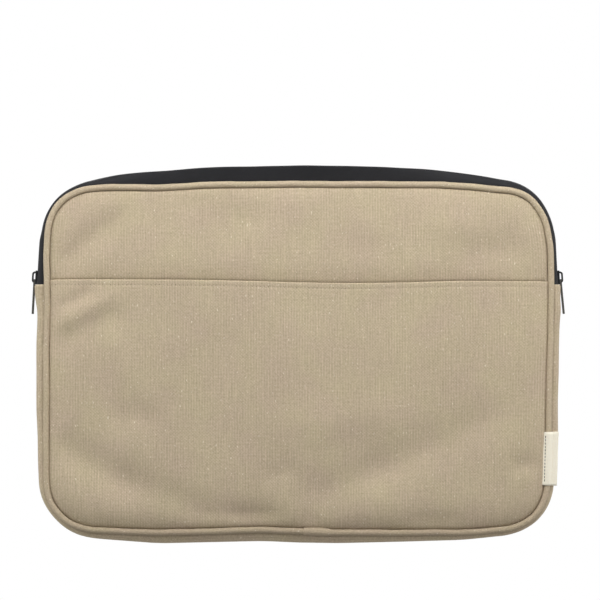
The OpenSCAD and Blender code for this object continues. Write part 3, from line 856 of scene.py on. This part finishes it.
front_piping, front_lap, front_cord = piping(1, "front")
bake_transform(front_piping)
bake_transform(front_cord)
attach(front_lap, SLEEVE)
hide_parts("front_piping_cover_lower", "front_piping_cover_upper")
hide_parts("front_piping_cord_lower", "front_piping_cord_upper")

back_piping, back_lap, back_cord = piping(-1, "back")
for piece in (back_piping, back_lap, back_cord):
    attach(piece, SLEEVE)
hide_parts("back_piping_cover")
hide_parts("back_piping_cord")


# ---- gusset ----


def gusset_section(s, inset, count=29):
    """Points (off, d) across the gusset from the front seam to the back seam, at each station of the seam."""
    bow = lookup(s, BOWS, 6.0)[:, None] - inset
    half_depth = GUSSET_D - 0.75 * inset
    a = np.linspace(0, PI, count)
    c, w = np.cos(a), np.sin(a)
    start = 1.2 - 0.3 * inset
    off = start + (bow - start) * w[None, :] ** (2 / GUSSET_POWER)
    d = np.broadcast_to(half_depth * np.sign(c) * np.abs(c) ** (2 / GUSSET_POWER), off.shape)
    root_off = np.broadcast_to([[-1.8, -0.2]], (len(s), 2))
    root_d = np.full((len(s), 2), half_depth)
    off = np.concatenate([root_off, off, root_off[:, ::-1]], axis=1)
    return off, np.concatenate([root_d, d, -root_d], axis=1)


def gusset_flex(s, off, d):
    """Puckers beside the seams, and slow swells between them."""
    along = s[:, None] + 0 * off
    near = np.exp(-np.abs(np.abs(d) - GUSSET_D) / 2.4) * ease((off + 0.5) / 3)
    pull = np.sin(along * 0.95) * 0.5 + np.sin(along * 0.52 + 0.7) * 0.8 + np.sin(along * 0.23 + 2) * 0.6
    on_ground = ease((BOTTOM_HALF + 8 - np.abs(along)) / 16)
    swell = 0.22 * np.sin(along * 0.061 + 0.6) + 0.12 * np.sin(along * 0.14)
    swell = swell * (1 - on_ground) * ease((off - 3) / 4)
    return off + 0.16 * pull * near + swell, d - np.sign(d) * 0.12 * pull * near


def gusset_mesh():
    """The band from end to end, each end turned in round its own edge."""
    turn = np.linspace(0, PI, 7)[1:]
    edge = S_ZIP - np.array([3.5, 2.2, 1.2, 0.5, 0.0])
    main = np.concatenate([-edge[::-1], np.linspace(-S_ZIP + 4.5, S_ZIP - 4.5, 320), edge])
    outer_off, outer_d = gusset_flex(main, *gusset_section(main, 0.0))
    rows = [(main[:, None] + 0 * outer_off, outer_off, outer_d)]
    for sign in (-1, 1):
        end = np.array([sign * S_ZIP])
        face_off, face_d = gusset_flex(end, *gusset_section(end, 0.0))
        back_off, back_d = gusset_flex(end, *gusset_section(end, 1.5))
        ends = []
        for a in turn:
            share = (1 - math.cos(a)) / 2
            s = end[0] + sign * 0.75 * math.sin(a)
            turned_off = face_off * (1 - share) + back_off * share
            ends.append((s, turned_off, face_d * (1 - share) + back_d * share))
        for drop in (2.0, 5.0, 9.0):
            ends.append((end[0] - sign * drop, *gusset_section(end - sign * drop, 1.5)))
        block = [np.concatenate([part[i] + 0 * part[1] for part in ends]) for i in range(3)]
        if sign < 0:
            rows.insert(0, tuple(part[::-1] for part in block))
        else:
            rows.append(tuple(block))
    along, off, d = (np.concatenate([part[i] for part in rows]) for i in range(3))
    steps = np.hypot(np.diff(off, axis=1), np.diff(d, axis=1)).mean(axis=0)
    across = np.concatenate([[0], np.cumsum(steps)])
    seam = np.minimum(across, across[-1] - across)
    # Painted shade down in the seams along both edges of the band.
    painted_shade = np.exp(-np.maximum(0, seam - 2.6) / 0.8)[None, :] + 0 * along
    uv = np.stack([along, np.broadcast_to(across[None, :], along.shape)], -1)
    return place(along, off, d), uv, painted_shade


points, uv, painted_shade = gusset_mesh()
gusset = grid_object("gusset_canvas", points, uv, GUSSET_CANVAS, painted_shade=painted_shade)
thicken(gusset, 0.8, 1)
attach(gusset, SLEEVE)
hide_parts("gusset_band")

s = np.linspace(-S_ZIP + 7, S_ZIP - 7, 180)
off, d = gusset_section(s, 2.0, 17)
along = s[:, None] + 0 * off
uv = np.stack([along, d], -1)
gusset_inside = grid_object("gusset_inside", place(along, off, d), uv, LINING, flip=True)
thicken(gusset_inside, 0.4)
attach(gusset_inside, SLEEVE)
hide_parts("gusset_lining")


# ---- seam bindings ----


def binding(name, side):
    """Tape folded over the raw seam inside, round the whole panel."""
    s = np.linspace(0, LOOP, 361)[:-1]
    pull = 0.15 * np.sin(s * 0.8) + 0.1 * np.sin(s * 0.47)
    line = [(-2.2, 7.95), (-3.2, 7.55), (-4.6, 7.3), (-5.9, 7.35), (-6.9, 7.7)]
    line_off, line_d = np.array(line).T
    off = line_off + 0 * pull[:, None]
    d = line_d + pull[:, None] * np.array([0, 0.4, 0.8, 0.5, 0.1])
    along = np.broadcast_to(s[:, None], off.shape)
    points = place(along, off, side * d)
    points = np.concatenate([points, points[:1]])
    uv = np.stack([along, off], -1)
    uv = np.concatenate([uv, uv[:1]])
    obj = grid_object(name, points, uv, BINDING, flip=side > 0)
    thicken(obj, 0.35)
    return obj


front_binding = binding("front_seam_tape", 1)
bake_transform(front_binding)
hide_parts("front_seam_binding_lower", "front_seam_binding_upper")
back_binding = binding("back_seam_tape", -1)
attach(back_binding, SLEEVE)
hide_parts("back_seam_binding")


# ---- zip ----


# How far the tape stands up, from 0 (lying over the gap) to 1, by the distance along the zip from the
# middle of the top
STAND = [
    (-172, 0), (-150, 0.25), (-130, 0.55), (-110, 0.78), (-80, 0.86), (0, 0.95), (50, 0.92), (95, 0.73),
    (140, 0.48), (165, 0.28), (198, 0),
]
ZIP_ARC = TOP_HALF + ARC_TOP


def zip_controls(g):
    """Control points (off, d) of the tape's section, g along the zip from the middle of the top."""
    stand = lookup(g, STAND, 4.0)
    side_z = CORNER_TOP - (np.abs(g) - ZIP_ARC)
    side_edge = EDGE_LOW - EDGE_LOSS * (side_z - ZIP_Z) / LEAN_RUN
    side_edge = np.where(side_z < ZIP_Z, EDGE_LOW - 0.16 * (ZIP_Z - side_z), side_edge)
    corner_edge = EDGE_LOW - EDGE_LOSS * (CORNER_TOP - ZIP_Z) / LEAN_RUN
    round_edge = lookup(np.abs(g), [(TOP_HALF, 2.8), (TOP_HALF + ARC_TOP / 2, 3.0), (ZIP_ARC, corner_edge)])
    edge = np.where(np.abs(g) >= ZIP_ARC, side_edge, round_edge)
    swell = lookup(np.abs(g), [(TOP_HALF + ARC_TOP / 2, 2.2), (ZIP_ARC, 0.1)])
    f = stand[:, None]
    middle = (1 - f) * np.stack([edge + swell, 8.1 + 0 * edge], -1) + f * np.array([7.2, 8.9])
    last = (1 - f) * np.stack([edge, TAPE_GAP + 0 * edge], -1) + f * np.array([13.2, 9.9])
    first = np.broadcast_to(np.array([2.2, TAPE_D]), middle.shape)
    return first, middle, last


def smooth_controls(g):
    """The controls, averaged a little along the zip so that the tape has no kinks."""
    shifts = (-9, -6, -3, 0, 3, 6, 9)
    calm = np.abs(g) > ZIP_ARC + 2
    parts = [zip_controls(g + shift) for shift in shifts]
    mean = [sum(p[i] for p in parts) / len(shifts) for i in range(3)]
    plain = zip_controls(g)
    return [np.where(calm[:, None], plain[i], mean[i]) for i in range(3)]


def zip_station(g):
    """Distance along the piping's line for a distance along the zip: g grows to the right."""
    return HALF_LOOP - g


def zip_tape(name, side, reach):
    left = [np.linspace(-reach, -ZIP_ARC, 26)[:-1], np.linspace(-ZIP_ARC, -TOP_HALF, 24)[:-1]]
    right = [np.linspace(TOP_HALF, ZIP_ARC, 24)[1:], np.linspace(ZIP_ARC, reach, 26)[1:]]
    g = np.concatenate([*left, np.linspace(-TOP_HALF, TOP_HALF, 100), *right])
    first, middle, last = smooth_controls(g)
    t = np.linspace(0, 1, 15)[None, :, None]
    curve = (1 - t) ** 2 * first[:, None] + 2 * t * (1 - t) * middle[:, None] + t**2 * last[:, None]
    root = np.broadcast_to(np.array([[[-2.0, TAPE_D], [-0.4, TAPE_D], [1.0, TAPE_D]]]), (len(g), 3, 2))
    end = last - middle
    end = end / np.linalg.norm(end, axis=1)[:, None]
    inward = np.stack([end[:, 1], -end[:, 0]], -1)
    lip = last[:, None] + np.array([0.35, 0.5])[None, :, None] * end[:, None]
    lip = lip + np.array([0.12, 0.55])[None, :, None] * inward[:, None]
    section = np.concatenate([root, curve, lip], axis=1)
    wave = 0.14 * np.sin(g * 0.09 + 0.5) + 0.07 * np.sin(g * 0.23)
    up = np.linspace(0, 1, section.shape[1]) ** 2
    calm = 1 - ease((np.abs(g) - TOP_HALF) / 20)
    section[:, :, 1] += (wave * calm)[:, None] * up[None, :] * 1.6
    section[:, :, 0] += (0.5 * wave * calm)[:, None] * up[None, :]
    s = np.broadcast_to(zip_station(g)[:, None], section.shape[:2])
    points = place(s, section[:, :, 0], side * section[:, :, 1])
    steps = np.linalg.norm(np.diff(section, axis=1), axis=2)
    across = np.concatenate([np.zeros((len(g), 1)), np.cumsum(steps, axis=1)], axis=1)
    uv = np.stack([np.broadcast_to(g[:, None], across.shape), across], -1)
    obj = grid_object(name, points, uv, TAPE, flip=side > 0)
    thicken(obj, 0.7)
    return obj


def zip_coil(name, side, reach):
    """Nylon coil sewn under the tape's free edge."""
    pitch, per_turn, sides = 1.35, 9, 5
    count = int(2 * reach / pitch)
    g = np.linspace(-reach, reach, count * per_turn)
    first, middle, last = smooth_controls(g)
    end = last - middle
    end = end / np.linalg.norm(end, axis=1)[:, None]
    inward = np.stack([end[:, 1], -end[:, 0]], -1)
    centre = last - 0.9 * end + 1.22 * inward
    turn = 2 * PI * np.arange(len(g)) / per_turn
    a = centre + 0.66 * np.cos(turn)[:, None] * inward + 1.05 * np.sin(turn)[:, None] * end
    line = place(zip_station(g), a[:, 0], side * a[:, 1])
    along = np.gradient(line, axis=0)
    along /= np.linalg.norm(along, axis=1)[:, None]
    hub = place(zip_station(g), centre[:, 0], side * centre[:, 1])
    out = line - hub
    out -= (out * along).sum(1)[:, None] * along
    out /= np.linalg.norm(out, axis=1)[:, None]
    across = np.cross(along, out)
    points = tube_points(line, out, across, 0.24, sides)
    uv = np.stack(np.broadcast_arrays(g[:, None], np.arange(sides)[None, :] * 0.3), -1)
    return grid_object(name, points, uv, COIL, wrap=True, flip=side > 0)


REACH = HALF_LOOP - S_ZIP
front_tape = zip_tape("front_tape", 1, REACH + 5)
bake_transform(front_tape)
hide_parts("front_zip_tape", "left_zip_tape_end", "right_zip_tape_end")
back_tape = zip_tape("back_tape", -1, REACH + 5)
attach(back_tape, SLEEVE)
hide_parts("back_zip_tape")
front_coil = zip_coil("front_coil", 1, REACH - 2.5)
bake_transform(front_coil)
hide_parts("front_zip_coil", "left_zip_coil_end", "right_zip_coil_end")
back_coil = zip_coil("back_coil", -1, REACH - 2.5)
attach(back_coil, SLEEVE)
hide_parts("back_zip_coil")


# ---- label ----


def label_section():
    """Line (off, d) of the label from the hollow of the seam beside the piping, over the piping, to the
    gusset.
    """
    r = PIPE_R + 0.45
    line = [(-3.7, 12.9), (-2.9, 13.35)]
    for a in np.radians(np.arange(125, -1, -12.5)):
        line.append((r * math.cos(a), PIPE_D_ABS + r * math.sin(a)))
    line += [(3.6, 11.3), (5.2, 10.8), (6.6, 10.1), (7.3, 9.4), (7.45, 8.8)]
    line += [(7.0, 8.5), (5.6, 8.8), (3.6, 9.25)]
    return np.array(line)


section = label_section()
rows_s = S_SIDE + np.linspace(LABEL_LOW, LABEL_HIGH, 26) - CORNER_LOW
off = np.broadcast_to(section[None, :, 0], (len(rows_s), len(section))).copy()
d = np.broadcast_to(section[None, :, 1], off.shape).copy()
along = np.broadcast_to(rows_s[:, None], off.shape)
share = (rows_s - rows_s[0]) / (rows_s[-1] - rows_s[0])
off += (0.5 * share - 0.35)[:, None] * 0.9 + 0.12 * np.sin(share * 7)[:, None]
across = np.concatenate([[0], np.cumsum(np.hypot(*np.diff(section, axis=0).T))])
uv = np.stack([along, np.broadcast_to(across[None, :], along.shape)], -1)
label = grid_object("side_label", place(along, off, d), uv, LABEL_CLOTH, flip=True)
thicken(label, 0.45)
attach(label, SLEEVE)
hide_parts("label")
label_row = np.array([[-2.0, 13.95], [-2.0, 13.95]])
label_lines = []
for height in np.arange(LABEL_LOW + 3, LABEL_HIGH - 3, 2.4):
    ends = S_SIDE + np.array([height, height + 1.5]) - CORNER_LOW
    label_lines.append(tuple(place(ends, label_row[:, 0], label_row[:, 1])))
label_stitches = capsules("label_stitches", label_lines, 0.28, BLACK_THREAD)
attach(label_stitches, SLEEVE)


# ---- sliders, pulls and stops ----


def give(node, material, bevel=0.25, segments=3):
    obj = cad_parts[node]
    obj.data.materials.clear()
    obj.data.materials.append(material)
    modifier = obj.modifiers.new("edges", "BEVEL")
    modifier.width = bevel * M
    modifier.segments = segments
    modifier.limit_method = "ANGLE"
    modifier.angle_limit = math.radians(40)
    obj.data.polygons.foreach_set("use_smooth", [True] * len(obj.data.polygons))


for side_name in ("left", "right"):
    give(side_name + "_slider_body", SLIDER_METAL, 0.3)
    give(side_name + "_slider_crown", SLIDER_METAL, 0.3)
    give(side_name + "_pull", PULL_METAL, 0.35)
    give(side_name + "_zip_stop", COIL, 0.08, 1)


# ---- camera, light and floor ----

CAMERA_X, CAMERA_Z, CAMERA_BACK = 1.8, 175.3, 2200.0
FRAME_WIDTH = 431.4


def stage_plane(name, size, place_at, colour_strength):
    bpy.ops.mesh.primitive_plane_add(size=size, location=place_at)
    obj = bpy.context.object
    obj.name = name
    material = bpy.data.materials.new(name)
    material.use_nodes = True
    shader = material.node_tree.nodes["Principled BSDF"]
    shader.inputs["Base Color"].default_value = (0, 0, 0, 1)
    shader.inputs["Specular IOR Level"].default_value = 0
    shader.inputs["Emission Color"].default_value = (1, 1, 1, 1)
    shader.inputs["Emission Strength"].default_value = colour_strength
    obj.data.materials.append(material)
    obj.visible_diffuse = False
    obj.visible_glossy = False
    obj.visible_shadow = False
    return obj


stage_plane("floor", 60, (0, 0, -0.0005), 1.0)


def area_light(name, location, target, size, power, colour=(1, 1, 1)):
    data = bpy.data.lights.new(name, "AREA")
    data.shape = "RECTANGLE"
    data.size, data.size_y = size
    data.energy = power
    data.color = colour
    obj = bpy.data.objects.new(name, data)
    obj.location = location
    obj.rotation_mode = "QUATERNION"
    obj.rotation_quaternion = (Vector(target) - Vector(location)).to_track_quat("-Z", "Y")
    bpy.context.scene.collection.objects.link(obj)
    obj.visible_camera = False
    return obj


area_light("key", (0.03, -0.55, 0.86), (0, 0, 0.16), (1.4, 0.4), 7.4)
area_light("back_fill", (0, 1.6, 1.5), (0, 0, 0.12), (2.0, 1.0), 16)
area_light("front_fill", (0, -2.6, 0.9), (0, 0, 0.13), (2.4, 1.2), 2.8)
area_light("left_side", (-1.5, -0.2, 0.45), (0, 0, 0.14), (1.2, 1.0), 8)
area_light("right_side", (1.5, -0.2, 0.45), (0, 0, 0.14), (1.2, 1.0), 8)

world = bpy.data.worlds.new("studio")
bpy.context.scene.world = world
world.use_nodes = True
tree = world.node_tree
background = tree.nodes["Background"]
coordinates = tree.nodes.new("ShaderNodeTexCoord")
parts = tree.nodes.new("ShaderNodeSeparateXYZ")
tree.links.new(coordinates.outputs["Generated"], parts.inputs[0])


def sky_ramp(values):
    """Brightness that follows the height of the direction: from, to, and the strength at each."""
    ramp = tree.nodes.new("ShaderNodeMapRange")
    tree.links.new(parts.outputs[2], ramp.inputs[0])
    for key, value in zip((1, 2, 3, 4), values):
        ramp.inputs[key].default_value = value
    return ramp.outputs[0]


both = tree.nodes.new("ShaderNodeMath")
tree.links.new(sky_ramp((-0.35, 0.6, 0.20, 0.42)), both.inputs[0])
tree.links.new(sky_ramp((-0.25, -0.9, 0.0, 0.35)), both.inputs[1])
light_path = tree.nodes.new("ShaderNodeLightPath")
sky = tree.nodes.new("ShaderNodeMath")
sky.operation = "MAXIMUM"
tree.links.new(both.outputs[0], sky.inputs[0])
tree.links.new(light_path.outputs["Is Camera Ray"], sky.inputs[1])
tree.links.new(sky.outputs[0], background.inputs["Strength"])
background.inputs["Color"].default_value = (1, 1, 1, 1)

camera_data = bpy.data.cameras.new("camera")
camera = bpy.data.objects.new("camera", camera_data)
bpy.context.scene.collection.objects.link(camera)
camera.location = (CAMERA_X * M, -(CAMERA_BACK + PIPE_D_ABS) * M, CAMERA_Z * M)
camera.rotation_euler = (PI / 2, 0, 0)
camera_data.sensor_width = 36.0
camera_data.lens = 36.0 * CAMERA_BACK / FRAME_WIDTH
camera_data.clip_end = 100
bpy.context.scene.camera = camera
bpy.context.scene.view_settings.view_transform = "Standard"
bpy.context.scene.view_settings.look = "None"
